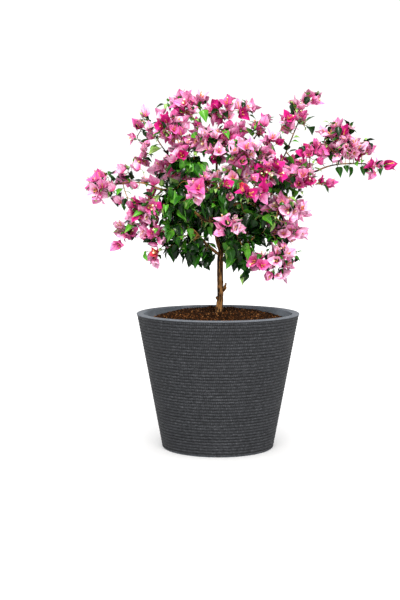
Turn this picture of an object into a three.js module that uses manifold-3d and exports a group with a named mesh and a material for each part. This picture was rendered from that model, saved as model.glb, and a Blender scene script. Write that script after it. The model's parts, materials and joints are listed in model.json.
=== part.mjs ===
// A bougainvillea trained as a small standard tree, in a tapered round planter.
//
// Millimetres, +Z up. The origin is the middle of the planter's flat underside. Seen from -Y, the
// side that faces the viewer, +X is to the right and +Y runs away behind the trunk.
//
// The planter is a turned shell filled with potting mix. One short trunk forks into tapering boughs,
// and each bough ends where it enters a mass of foliage. Every mass is a union of a few lumpy lobes.

import * as THREE from 'three';
import { mergeVertices } from 'three/addons/utils/BufferGeometryUtils.js';
import Module from 'manifold-3d';

const wasm = await Module();
wasm.setup();

// ---------- driving dimensions ----------

const GAP = 0.4; // clearance left between neighbouring solids

const POT = {
  height: 332,
  rimRadius: 200,
  wallTopRadius: 197.5, // the cone stands a little inside the rounded rim
  footRadius: 138,
  rimWidth: 18, // thickness of the rolled rim
  rimDepth: 46, // how far the roll reaches down inside
  rimRound: 5,
  wall: 5,
  base: 6,
  sides: 44,
};

const CHANNEL = { count: 4, width: 14, height: 4, innerReach: 62 }; // drainage grooves under the foot

// The mix has half as many sides as the planter, so that its corners meet the planter's own.
const SOIL = { edgeDrop: 26, crownRise: 6, trunkDip: 8, dipRadius: 55, sides: POT.sides / 2 };

const TRUNK = { baseX: 2, topX: 7, height: 148, baseRadius: 7.8, topRadius: 6.8, flare: 1.4, sway: 1.5 };
const SPUR = { rise: 52, reach: 15, lift: 24, baseRadius: 3.2, tipRadius: 1.5 }; // a cut side shoot

const FORK = new THREE.Vector3(TRUNK.topX - 2, 0, 480); // the crown is measured from here
const LIMB_SIDES = 5;
const LUMP = 0.1; // how uneven a lobe's surface is, as a share of its radius
const LARGE_LOBE = 57; // lobes with a wider half size get a finer net

const potTopZ = POT.height;
const innerRimRadius = POT.rimRadius - POT.rimWidth;
const soilCrownZ = potTopZ + SOIL.crownRise;
const soilTrunkZ = soilCrownZ - SOIL.trunkDip;

// ---------- materials ----------

const finish = (color, roughness) => new THREE.MeshStandardMaterial({ color, roughness, metalness: 0 });
const MATERIALS = {
  plastic: finish(0x3f4246, 0.7),
  soil: finish(0x3d2415, 1.0),
  bark: finish(0x7d5634, 0.9),
  bloom: finish(0xd65aa6, 0.7),
  leaf: finish(0x1f5a26, 0.45),
};

// ---------- solids ----------

function solidOf(geometry) {
  const bare = geometry.clone();
  bare.deleteAttribute('normal');
  bare.deleteAttribute('uv');
  const merged = mergeVertices(bare, 1e-3);
  return new wasm.Manifold(new wasm.Mesh({
    numProp: 3,
    vertProperties: new Float32Array(merged.attributes.position.array),
    triVerts: new Uint32Array(merged.index.array),
  }));
}

function geometryOf(solid) {
  const { numProp, numVert, vertProperties, triVerts } = solid.getMesh();
  const places = new Float32Array(numVert * 3);
  for (let i = 0; i < numVert; i += 1) {
    places.set(vertProperties.subarray(i * numProp, i * numProp + 3), i * 3);
  }
  const geometry = new THREE.BufferGeometry();
  geometry.setAttribute('position', new THREE.BufferAttribute(places, 3));
  geometry.setIndex(new THREE.BufferAttribute(new Uint32Array(triVerts), 1));
  geometry.computeVertexNormals();
  return geometry;
}

function largestPiece(solid) {
  return solid.decompose().reduce((a, b) => (b.volume() > a.volume() ? b : a));
}

const union = (solids) => solids.reduce((a, b) => a.add(b));
const cutBy = (solid, cutters) => cutters.reduce((a, b) => a.subtract(b), solid);

// A turned solid about +Z from a profile of [radius, height] pairs.
function turned(profile, sides) {
  const lathe = new THREE.LatheGeometry(profile.map(([r, z]) => new THREE.Vector2(r, z)), sides);
  return lathe.rotateX(Math.PI / 2);
}

// ---------- planter ----------

function conePoint(z) {
  return THREE.MathUtils.lerp(POT.footRadius, POT.wallTopRadius, z / (potTopZ - POT.rimRound * 2));
}

function planter() {
  const rimFootZ = potTopZ - POT.rimDepth;
  const round = POT.rimRound;
  const profile = [
    [0, 0],
    [POT.footRadius - 3, 0],
    [POT.footRadius, 3],
    [POT.wallTopRadius, potTopZ - round * 2],
    [POT.rimRadius, potTopZ - round],
    [POT.rimRadius - round * 0.3, potTopZ - round * 0.3],
    [POT.rimRadius - round, potTopZ],
    [innerRimRadius + round * 0.6, potTopZ],
    [innerRimRadius, potTopZ - round * 0.6],
    [innerRimRadius - 4, rimFootZ],
    [conePoint(rimFootZ - 14) - POT.wall, rimFootZ - 14],
    [conePoint(POT.base) - POT.wall, POT.base],
    [0, POT.base],
  ];
  const shell = solidOf(turned(profile, POT.sides));
  const channels = Array.from({ length: CHANNEL.count }, (_, i) => {
    const length = POT.footRadius + 10 - CHANNEL.innerReach;
    const box = new THREE.BoxGeometry(CHANNEL.width, length, CHANNEL.height * 2);
    box.translate(0, CHANNEL.innerReach + length / 2, 0);
    return solidOf(box.rotateZ((i * 2 * Math.PI) / CHANNEL.count));
  });
  return cutBy(shell, channels);
}

// The mix is heaped: low at the wall, a little above the rim further in, and dished round the trunk.
function soilHeight(radius) {
  const edge = innerRimRadius - 4;
  const heap = 1 - (radius / edge) ** 3;
  const dish = Math.max(0, 1 - radius / SOIL.dipRadius);
  const fall = SOIL.edgeDrop + SOIL.crownRise;
  return soilCrownZ - fall * (1 - heap) - SOIL.trunkDip * dish;
}

function pottingMix() {
  const rimFootZ = potTopZ - POT.rimDepth;
  const edge = innerRimRadius - 3.2 - GAP;
  const tops = [0.84, 0.62, 0.36, 0.16].map((share) => [edge * share, soilHeight(edge * share)]);
  const flatRadius = TRUNK.baseRadius + TRUNK.flare + 3;
  const profile = [
    [0, POT.base + GAP],
    [conePoint(POT.base) - POT.wall - GAP, POT.base + GAP],
    [conePoint(rimFootZ - 14) - POT.wall - GAP, rimFootZ - 14 - GAP],
    [innerRimRadius - 4 - GAP, rimFootZ - GAP],
    [edge, potTopZ - SOIL.edgeDrop],
    ...tops,
    [flatRadius, soilTrunkZ],
    [0, soilTrunkZ],
  ];
  return solidOf(turned(profile, SOIL.sides));
}

// ---------- trunk and limbs ----------

// A tapering tube along a curve. radiusAt gives the radius for a share of the length, and the section
// stands square to the curve.
function limbSolid(curve, steps, sides, radiusAt) {
  const frames = curve.computeFrenetFrames(steps, false);
  const places = [];
  const faces = [];
  for (let i = 0; i <= steps; i += 1) {
    const middle = curve.getPointAt(i / steps);
    const radius = radiusAt(i / steps);
    for (let j = 0; j < sides; j += 1) {
      const turn = (j * 2 * Math.PI) / sides;
      const p = middle.clone()
        .addScaledVector(frames.normals[i], Math.cos(turn) * radius)
        .addScaledVector(frames.binormals[i], Math.sin(turn) * radius);
      places.push(p.x, p.y, p.z);
    }
  }
  for (let i = 0; i < steps; i += 1) {
    for (let j = 0; j < sides; j += 1) {
      const a = i * sides + j;
      const b = i * sides + ((j + 1) % sides);
      faces.push(a, b, b + sides, a, b + sides, a + sides);
    }
  }
  for (let j = 1; j < sides - 1; j += 1) {
    const top = steps * sides;
    faces.push(0, j + 1, j, top, top + j, top + j + 1);
  }
  const geometry = new THREE.BufferGeometry();
  geometry.setAttribute('position', new THREE.Float32BufferAttribute(places, 3));
  geometry.setIndex(faces);
  return solidOf(geometry);
}

// The trunk is built level ring by ring, so that its cut at the soil is flat.
function trunkSolid(grow = 0) {
  const rings = 8;
  const sides = 10;
  const radii = [];
  for (let i = 0; i <= rings; i += 1) {
    const share = i / rings;
    const taper = THREE.MathUtils.lerp(TRUNK.baseRadius, TRUNK.topRadius, share);
    radii.push([share, taper + TRUNK.flare * Math.exp(-share * 14) + grow]);
  }
  const footZ = soilTrunkZ + GAP;
  const profile = radii.map(([share, radius]) => [radius, footZ + TRUNK.height * share]);
  const column = turned([[0, footZ - grow], ...profile, [0, footZ + TRUNK.height + grow]], sides);
  const spots = column.attributes.position;
  for (let i = 0; i < spots.count; i += 1) {
    const share = (spots.getZ(i) - footZ) / TRUNK.height;
    const lean = THREE.MathUtils.lerp(TRUNK.baseX, TRUNK.topX, share);
    spots.setX(i, spots.getX(i) + lean + TRUNK.sway * Math.sin(share * Math.PI * 1.6));
    spots.setY(i, spots.getY(i) - TRUNK.sway * Math.sin(share * Math.PI));
  }
  return solidOf(column).add(spurSolid(footZ, grow));
}

// The stub of a pruned side shoot, on the trunk's right.
function spurSolid(footZ, grow) {
  const root = new THREE.Vector3(TRUNK.baseX + 3, -1, footZ + SPUR.rise);
  const bend = root.clone().add(new THREE.Vector3(SPUR.reach * 0.7, -1, SPUR.lift * 0.4));
  const tip = root.clone().add(new THREE.Vector3(SPUR.reach, -2, SPUR.lift));
  const curve = new THREE.CatmullRomCurve3([root, bend, tip]);
  const radiusAt = (share) => THREE.MathUtils.lerp(SPUR.baseRadius, SPUR.tipRadius, share) + grow;
  return limbSolid(curve, 3, LIMB_SIDES, radiusAt);
}

// Each limb's route, in steps of [across, deep, up] from the fork, with its first and last radius.
const LIMBS = {
  leader: { via: [[2, 0, 0], [-9, 2, 36], [-13, 0, 78], [-14, 4, 130], [-8, 6, 200], [-10, -8, 262]], radii: [5.4, 2.6] },
  bough_low_left: { via: [[-2, 0, -6], [-26, -4, 12], [-61, -18, 50], [-100, -34, 90]], radii: [4.6, 2.6] },
  bough_left: { via: [[-12, 0, 70], [-42, 6, 80], [-74, 2, 108], [-112, -20, 130]], radii: [3.8, 2.4] },
  bough_upper_left: { via: [[-14, 4, 118], [-36, 12, 160], [-70, 0, 205]], radii: [3.4, 2.4] },
  bough_upper_right: { via: [[-10, 6, 176], [36, 14, 226], [92, 0, 286]], radii: [3.2, 2] },
  bough_right: { via: [[-14, 2, 106], [22, 6, 110], [66, 8, 128], [140, -8, 158]], radii: [3.6, 2.2] },
  bough_low_right: { via: [[4, 0, -4], [34, 14, 22], [66, 6, 46], [104, -20, 72]], radii: [3.8, 2.4] },
  bough_back: { via: [[-10, 2, 44], [-4, 44, 84], [4, 96, 120], [10, 150, 150]], radii: [4, 2.4] },
  stem_high_left: { via: [[-92, -4, 206], [-124, 14, 232], [-153, 28, 274], [-186, 44, 328]], radii: [2, 1.3] },
  stem_left_tip: { via: [[-128, -30, 142], [-166, -36, 164], [-210, -46, 171], [-292, -58, 158]], radii: [2, 1.3] },
  stem_shoot: { via: [[124, -50, 196], [150, -2, 222], [182, 30, 294], [214, 54, 366]], radii: [2.2, 1.2] },
  stem_spray: { via: [[196, -30, 176], [228, -36, 196], [268, -40, 212], [362, -58, 214]], radii: [2.2, 1.4] },
};

const fromFork = ([across, deep, up]) => new THREE.Vector3(across, deep, up).add(FORK);

function limb({ via, radii }, grow = 0) {
  const curve = new THREE.CatmullRomCurve3(via.map(fromFork));
  const steps = Math.max(4, Math.round(curve.getLength() / 38));
  return limbSolid(curve, steps, LIMB_SIDES, (share) => THREE.MathUtils.lerp(...radii, share) + grow);
}

// ---------- masses of foliage ----------

// Each mass is a list of lobes: [across, deep, up] of the lobe's middle from the fork, then its half
// width and half height. Its half depth is worked out from those two. beside names a stem that the
// mass sits against, and which it is cut to let past.
const BLOOM_MASSES = {
  bloom_top_left_low: { lobes: [[-122, -20, 303, 43, 40]] },
  bloom_top_left_high: { lobes: [[-91, 2, 353, 36, 37], [-49, 20, 370, 25, 20]] },
  bloom_top_middle: { lobes: [[-4, 12, 340, 38, 31], [20, 8, 360, 20, 22], [61, 14, 344, 29, 23]] },
  bloom_upper_centre: { lobes: [[-35, -30, 276, 42, 26], [20, -32, 277, 32, 25], [-6, -46, 234, 30, 32]] },
  bloom_right_peak: { lobes: [[96, -8, 302, 23, 28], [127, -14, 270, 24, 26], [108, -34, 238, 24, 24]] },
  bloom_centre: { lobes: [[52, -110, 239, 46, 36], [36, -98, 186, 34, 31]] },
  bloom_centre_right: { lobes: [[114, -112, 197, 38, 32]] },
  bloom_right_middle: { lobes: [[190, -34, 186, 42, 36], [248, -44, 168, 28, 17]] },
  bloom_shoot_low: { lobes: [[163, 34, 320, 24, 29]], beside: 'stem_shoot' },
  bloom_shoot_side: { lobes: [[207, 34, 317, 18, 15]], beside: 'stem_shoot' },
  bloom_shoot_tip: { lobes: [[194, 48, 360, 19, 21], [212, 54, 370, 13, 12], [227, 58, 378, 18, 19]] },
  bloom_spray_inner: { lobes: [[220, -20, 246, 35, 25]] },
  bloom_spray_outer: { lobes: [[284, -22, 290, 48, 24], [306, -46, 249, 62, 31], [356, -50, 250, 20, 24]] },
  bloom_spray_tip: { lobes: [[365, -60, 205, 22, 26], [388, -62, 214, 19, 15]] },
  bloom_right_shelf: { lobes: [[150, -48, 114, 54, 27], [190, -46, 104, 25, 25]] },
  bloom_right_lower: { lobes: [[163, -20, 52, 56, 30]] },
  bloom_right_foot: { lobes: [[146, -60, -14, 40, 36], [136, -58, -47, 28, 21], [90, -72, -20, 25, 25]] },
  bloom_lower_centre: { lobes: [[20, -156, 68, 35, 27]] },
  bloom_inner_left: { lobes: [[-96, -66, 238, 27, 26]] },
  bloom_front_left: { lobes: [[-56, -176, 152, 22, 24], [-37, -172, 184, 22, 24]] },
  bloom_front_centre: { lobes: [[11, -190, 165, 19, 27]] },
  bloom_front_right: { lobes: [[54, -184, 145, 27, 22], [96, -170, 150, 27, 22]] },
  bloom_left_shelf: { lobes: [[-172, -30, 172, 27, 17]], beside: 'stem_left_tip' },
  bloom_left_single: { lobes: [[-234, -48, 190, 20, 24]], beside: 'stem_left_tip' },
  bloom_left_tip: { lobes: [[-292, -60, 160, 27, 38]] },
  bloom_left_middle: { lobes: [[-184, -34, 104, 46, 34], [-238, -40, 128, 24, 17]] },
  bloom_left_lower: { lobes: [[-228, 10, 56, 38, 25], [-246, 6, 22, 19, 20]] },
  bloom_left_lower_inner: { lobes: [[-158, -40, 46, 39, 28], [-160, -44, -4, 23, 26]] },
  bloom_left_high: { lobes: [[-180, 40, 334, 17, 19], [-199, 44, 308, 20, 18], [-218, 40, 287, 18, 17]] },
  bloom_left_upper: { lobes: [[-183, 12, 253, 19, 23], [-188, 14, 223, 26, 18]], beside: 'stem_high_left' },
  bloom_back_top: { lobes: [[-44, 84, 276, 46, 34], [30, 92, 288, 46, 32], [98, 78, 250, 38, 32]] },
  bloom_back_left: { lobes: [[-118, 112, 204, 50, 40], [-164, 76, 150, 38, 34]] },
  bloom_back_right: { lobes: [[116, 132, 190, 50, 38], [176, 86, 200, 42, 34]] },
  bloom_back_middle: { lobes: [[-48, 180, 172, 46, 38], [26, 196, 150, 46, 36]] },
};

const LEAF_MASSES = {
  leaves_upper_left: { lobes: [[-76, -18, 208, 48, 29]] },
  leaves_left: { lobes: [[-108, -36, 120, 48, 54]] },
  leaves_left_low: { lobes: [[-118, -36, 30, 31, 44]] },
  leaves_lower_left: { lobes: [[-72, -50, 6, 27, 38], [-34, -46, -8, 22, 34]] },
  leaves_centre: { lobes: [[-8, -96, 118, 44, 46]] },
  leaves_right_upper: { lobes: [[146, -22, 158, 46, 20]] },
  leaves_right: { lobes: [[100, -40, 74, 52, 34], [102, -46, 36, 28, 26]] },
  leaves_lower_right: { lobes: [[44, -64, 8, 42, 46], [58, -72, -42, 14, 26]] },
  leaves_back_left: { lobes: [[-76, 84, 90, 58, 60]] },
  leaves_back_right: { lobes: [[74, 88, 86, 60, 60]] },
  leaves_back_low: { lobes: [[-6, 84, 26, 52, 34], [4, 150, 76, 46, 40]] },
};

// One lumpy, rounded lobe. Two crossing waves, turned by the lobe's own number, push its surface in
// and out so that no two lobes are alike.
function lobe([across, deep, up, halfWidth, halfHeight], number, grow) {
  const halfDepth = (halfWidth + halfHeight) * 0.54;
  const ball = new THREE.IcosahedronGeometry(1, Math.max(halfWidth, halfHeight) > LARGE_LOBE ? 2 : 1);
  const spots = ball.attributes.position;
  const turn = number * 2.4;
  for (let i = 0; i < spots.count; i += 1) {
    const d = new THREE.Vector3().fromBufferAttribute(spots, i).normalize();
    const wave = Math.sin(3 * d.x + 2 * d.z + turn) * Math.cos(3 * d.y - 2 * d.z + turn * 1.7);
    const swell = 1 + LUMP * wave;
    spots.setXYZ(
      i,
      d.x * (halfWidth * swell + grow),
      d.y * (halfDepth * swell + grow),
      d.z * (halfHeight * swell + grow),
    );
  }
  const place = fromFork([across, deep, up]);
  return solidOf(ball.translate(place.x, place.y, place.z));
}

function massSolid(lobes, number, grow = 0) {
  return union(lobes.map((row, i) => lobe(row, number + i * 0.31, grow)));
}

// ---------- assembly ----------

const plant = new THREE.Group();

function addPart(name, solid, material) {
  const mesh = new THREE.Mesh(geometryOf(solid), MATERIALS[material]);
  mesh.name = name;
  plant.add(mesh);
}

addPart('pot', planter(), 'plastic');
addPart('potting_mix', pottingMix(), 'soil');
addPart('trunk', trunkSolid(), 'bark');

const grownTrunk = trunkSolid(GAP);
const grownLimbs = new Map(Object.entries(LIMBS).map(([name, row]) => [name, limb(row, GAP)]));

// Each mass gives way to the masses before it, and to a stem that it sits beside.
const grownMasses = [];
const cuttersOfLimb = new Map(Object.keys(LIMBS).map((name) => [name, []]));
Object.entries({ ...BLOOM_MASSES, ...LEAF_MASSES }).forEach(([name, { lobes, beside }], number) => {
  const neighbours = beside ? [...grownMasses, grownLimbs.get(beside)] : grownMasses;
  const solid = largestPiece(cutBy(massSolid(lobes, number), neighbours));
  addPart(name, solid, name in BLOOM_MASSES ? 'bloom' : 'leaf');
  const grown = massSolid(lobes, number, GAP);
  grownMasses.push(grown);
  cuttersOfLimb.forEach((cutters, limbName) => limbName === beside || cutters.push(grown));
});

// Each limb ends at the masses that it enters, and starts at the trunk or at an earlier limb.
const grownBefore = [grownTrunk];
Object.entries(LIMBS).forEach(([name, row]) => {
  const solid = largestPiece(cutBy(limb(row), [...grownBefore, ...cuttersOfLimb.get(name)]));
  addPart(name, solid, 'bark');
  grownBefore.push(grownLimbs.get(name));
});

export default plant;
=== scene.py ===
"""A bougainvillea in full flower, trained as a small standard tree in a ribbed round planter.

Metres, +Z up, the origin in the middle of the planter's flat underside. The solids of the frame say
where everything is: the planter, its potting mix, the trunk and boughs are dressed where they stand,
and a branching rule grows on from the boughs into each mass of foliage.
"""

import json
import math
import random

import bmesh
import bpy
import numpy as np
from mathutils import Matrix, Vector
from mathutils.bvhtree import BVHTree
from mathutils.kdtree import KDTree

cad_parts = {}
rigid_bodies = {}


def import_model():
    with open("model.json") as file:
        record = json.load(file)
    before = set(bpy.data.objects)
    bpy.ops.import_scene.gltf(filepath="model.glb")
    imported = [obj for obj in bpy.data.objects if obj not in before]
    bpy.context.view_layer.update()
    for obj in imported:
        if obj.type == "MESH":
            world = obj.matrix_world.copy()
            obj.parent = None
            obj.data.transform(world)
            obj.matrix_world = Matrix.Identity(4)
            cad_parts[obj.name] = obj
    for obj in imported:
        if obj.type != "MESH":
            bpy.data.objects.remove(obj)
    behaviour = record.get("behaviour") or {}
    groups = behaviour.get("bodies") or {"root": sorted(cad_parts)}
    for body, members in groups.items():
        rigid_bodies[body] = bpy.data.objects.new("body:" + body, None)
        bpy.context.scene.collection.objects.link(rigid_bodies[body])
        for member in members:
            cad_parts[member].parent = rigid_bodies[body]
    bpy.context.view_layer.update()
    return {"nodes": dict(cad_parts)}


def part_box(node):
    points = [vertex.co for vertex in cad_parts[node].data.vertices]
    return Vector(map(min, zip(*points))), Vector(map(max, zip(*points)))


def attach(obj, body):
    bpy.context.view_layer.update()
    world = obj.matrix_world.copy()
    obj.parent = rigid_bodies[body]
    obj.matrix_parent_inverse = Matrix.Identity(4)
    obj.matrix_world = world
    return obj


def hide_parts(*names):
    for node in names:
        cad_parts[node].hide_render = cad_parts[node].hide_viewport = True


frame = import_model()

MM = 0.001
UP = Vector((0, 0, 1))
LEAF_MAP = "OFBake"  # the map of a single blade, which every leaf and bract shares

# ---------------------------------------------------------------- nodes of the frame

ALL_NODES = sorted(frame["nodes"])
BLOOM_MASSES = [name for name in ALL_NODES if name.startswith("bloom")]
LEAF_MASSES = [name for name in ALL_NODES if name.startswith("leaves")]
LIMBS = [name for name in ALL_NODES if name.startswith(("leader", "bough", "stem"))]

# ---------------------------------------------------------------- camera, floor and light


def stand_camera():
    camera = bpy.data.objects.new("camera", bpy.data.cameras.new("camera"))
    bpy.context.scene.collection.objects.link(camera)
    camera.data.lens = 75
    camera.data.sensor_width = 36
    camera.data.clip_end = 50
    camera.location = (-44 * MM, -3052 * MM, 648.5 * MM)
    camera.rotation_euler = (math.radians(90 - 5.35), 0, 0)
    bpy.context.scene.camera = camera


def sun_light(name, towards, strength, softness, spared=None):
    """A distant soft light that shines along towards. softness is its angle in degrees."""
    light = bpy.data.lights.new(name, "SUN")
    light.energy = strength
    light.angle = math.radians(softness)
    light.color = (1, 0.985, 0.965)
    lamp = bpy.data.objects.new(name, light)
    bpy.context.scene.collection.objects.link(lamp)
    lamp.rotation_euler = Vector(towards).to_track_quat("-Z", "Y").to_euler()
    if spared:
        unlit = bpy.data.collections.new(name + "_spares")
        unlit.objects.link(spared)
        unlit.collection_objects[0].light_linking.link_state = "EXCLUDE"
        lamp.light_linking.receiver_collection = unlit


def light_studio(floor):
    """A bright even room and a soft key light from the front. The key light spares the floor."""
    world = bpy.data.worlds.new("studio")
    bpy.context.scene.world = world
    world.use_nodes = True
    backdrop = world.node_tree.nodes["Background"]
    backdrop.inputs["Color"].default_value = (1, 1, 1, 1)
    backdrop.inputs["Strength"].default_value = 1.12
    sun_light("key", (-0.15, 0.85, -1.1), 3.4, 8, floor)
    sun_light("fill", (0, 1, -0.9), 1.5, 40)
    bpy.context.scene.view_settings.view_transform = "Standard"


# ---------------------------------------------------------------- wiring and meshes


class Graph:
    """Short calls for wiring nodes, in a Geometry Nodes tree or in a material."""

    def __init__(self, tree):
        self.tree = tree

    def add(self, kind, feeds=None, **settings):
        node = self.tree.nodes.new(kind)
        for name, value in settings.items():
            setattr(node, name, value)
        for key, value in (feeds or {}).items():
            self.feed(node.inputs[key], value)
        return node

    def feed(self, socket, value):
        if isinstance(value, bpy.types.Node):
            value = next(s for s in value.outputs if s.enabled)
        if isinstance(value, bpy.types.NodeSocket):
            self.tree.links.new(value, socket)
        else:
            socket.default_value = value

    def math(self, operation, a, b=0.0, clamp=False):
        return self.add("ShaderNodeMath", {0: a, 1: b}, operation=operation, use_clamp=clamp)

    def vector(self, operation, a, b=(0, 0, 0)):
        return self.add("ShaderNodeVectorMath", {0: a, 1: b}, operation=operation)

    def scaled(self, vector, amount):
        return self.add("ShaderNodeVectorMath", {0: vector, "Scale": amount}, operation="SCALE")

    def parts(self, vector):
        return self.add("ShaderNodeSeparateXYZ", {0: vector}).outputs

    def joined(self, x, y, z):
        return self.add("ShaderNodeCombineXYZ", {0: x, 1: y, 2: z})

    def noise(self, vector, scale, detail=2.0, roughness=0.5):
        feeds = {"Vector": vector, "Scale": scale, "Detail": detail, "Roughness": roughness}
        return self.add("ShaderNodeTexNoise", feeds).outputs[0]

    def spread(self, value, low, high, to_low=0.0, to_high=1.0):
        """value's stretch from low to high, eased onto to_low to to_high."""
        feeds = {0: value, 1: low, 2: high, 3: to_low, 4: to_high}
        return self.add("ShaderNodeMapRange", feeds, interpolation_type="SMOOTHSTEP")

    def ramp(self, value, *stops):
        """Colours along a value, from (place, colour) stops."""
        node = self.add("ShaderNodeValToRGB", {0: value})
        elements = node.color_ramp.elements
        for _ in stops[2:]:
            elements.new(0.5)
        for element, (place, colour) in zip(elements, stops):
            element.position = place
            element.color = (*colour, 1)
        return node

    def blend(self, share, a, b):
        """Colour a turning into colour b as share goes from 0 to 1."""
        node = self.add("ShaderNodeMix", data_type="RGBA")
        for socket, value in zip((node.inputs[0], node.inputs[6], node.inputs[7]), (share, a, b)):
            self.feed(socket, value if not isinstance(value, tuple) else (*value, 1))
        return node.outputs[2]


def growth_tree(name, inputs):
    """A Geometry Nodes tree with named inputs. Gives its graph, its inputs by name and its end."""
    tree = bpy.data.node_groups.new(name, "GeometryNodeTree")
    for title, kind in {"Geometry": "Geometry", **inputs}.items():
        tree.interface.new_socket(title, in_out="INPUT", socket_type="NodeSocket" + kind)
    tree.interface.new_socket("Geometry", in_out="OUTPUT", socket_type="NodeSocketGeometry")
    graph = Graph(tree)
    entry = graph.add("NodeGroupInput")
    return graph, {s.name: s for s in entry.outputs if s.name}, graph.add("NodeGroupOutput")


def finish_growth(graph, end, geometry, material):
    """Every tree ends with its instances made real, shaded smooth and in their material."""
    real = graph.add("GeometryNodeRealizeInstances", {"Geometry": geometry})
    smooth = graph.add("GeometryNodeSetShadeSmooth", {"Geometry": real})
    painted = graph.add("GeometryNodeSetMaterial", {"Geometry": smooth, "Material": material})
    graph.feed(end.inputs[0], painted)
    return graph.tree


def attribute(graph, name, kind="FLOAT"):
    return graph.add("GeometryNodeInputNamedAttribute", {"Name": name}, data_type=kind)


def mesh_from(name, places, faces=(), edges=(), flat_map=None, smooth=True):
    mesh = bpy.data.meshes.new(name)
    mesh.from_pydata([tuple(p) for p in places], list(edges), [tuple(f) for f in faces])
    if flat_map is not None:
        layer = mesh.uv_layers.new(name=LEAF_MAP)
        for loop in mesh.loops:
            layer.data[loop.index].uv = flat_map[loop.vertex_index]
    mesh.shade_smooth() if smooth else mesh.shade_flat()
    return mesh


def object_from(mesh, name, linked=True):
    thing = bpy.data.objects.new(name, mesh)
    if linked:
        bpy.context.scene.collection.objects.link(thing)
    return thing


def give(mesh, name, kind, values):
    """Stores one value for each vertex."""
    field = {"QUATERNION": "value", "FLOAT_VECTOR": "vector"}.get(kind, "value")
    layer = mesh.attributes.new(name, kind, "POINT")
    layer.data.foreach_set(field, np.asarray(values).ravel())


def grown(mesh, tree, values):
    """The plain mesh that a tree makes of a mesh."""
    holder = object_from(mesh, "holder")
    modifier = holder.modifiers.new("growth", "NODES")
    modifier.node_group = tree
    for item in tree.interface.items_tree:
        if item.in_out == "INPUT" and item.name in values:
            modifier[item.identifier] = values[item.name]
    seen = holder.evaluated_get(bpy.context.evaluated_depsgraph_get())
    result = bpy.data.meshes.new_from_object(seen)
    bpy.data.objects.remove(holder)
    return result


def cupboard(name, meshes):
    """A collection of shapes to scatter, out of the scene."""
    shelf = bpy.data.collections.new(name)
    for i, mesh in enumerate(meshes):
        shelf.objects.link(object_from(mesh, f"{name}_{i:02d}", linked=False))
    return shelf


def clear_cupboard(shelf):
    for thing in list(shelf.objects):
        bpy.data.objects.remove(thing)
    bpy.data.collections.remove(shelf)


def joined_mesh(name, meshes):
    whole = bmesh.new()
    for mesh in meshes:
        whole.from_mesh(mesh)
    result = bpy.data.meshes.new(name)
    for material in dict.fromkeys(m for mesh in meshes for m in mesh.materials):
        result.materials.append(material)
    whole.to_mesh(result)
    whole.free()
    return result


def place_piece(mesh, name, slot, *nodes):
    piece = object_from(mesh, name)
    piece.data.name = name
    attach(piece, "root")
    if nodes:
        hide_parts(*nodes)
    return piece


# ---------------------------------------------------------------- materials


def new_material(name, roughness, specular=0.5):
    """A material's graph, its Principled shader and its own coordinates."""
    material = bpy.data.materials.new(name)
    material.use_nodes = True
    graph = Graph(material.node_tree)
    shader = material.node_tree.nodes["Principled BSDF"]
    shader.inputs["Roughness"].default_value = roughness
    shader.inputs["Specular IOR Level"].default_value = specular
    place = graph.add("ShaderNodeTexCoord").outputs["Object"]
    return material, graph, shader, place


def add_bump(graph, shader, height, distance, strength=1.0):
    feeds = {"Height": height, "Distance": distance, "Strength": strength}
    graph.feed(shader.inputs["Normal"], graph.add("ShaderNodeBump", feeds))


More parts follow.
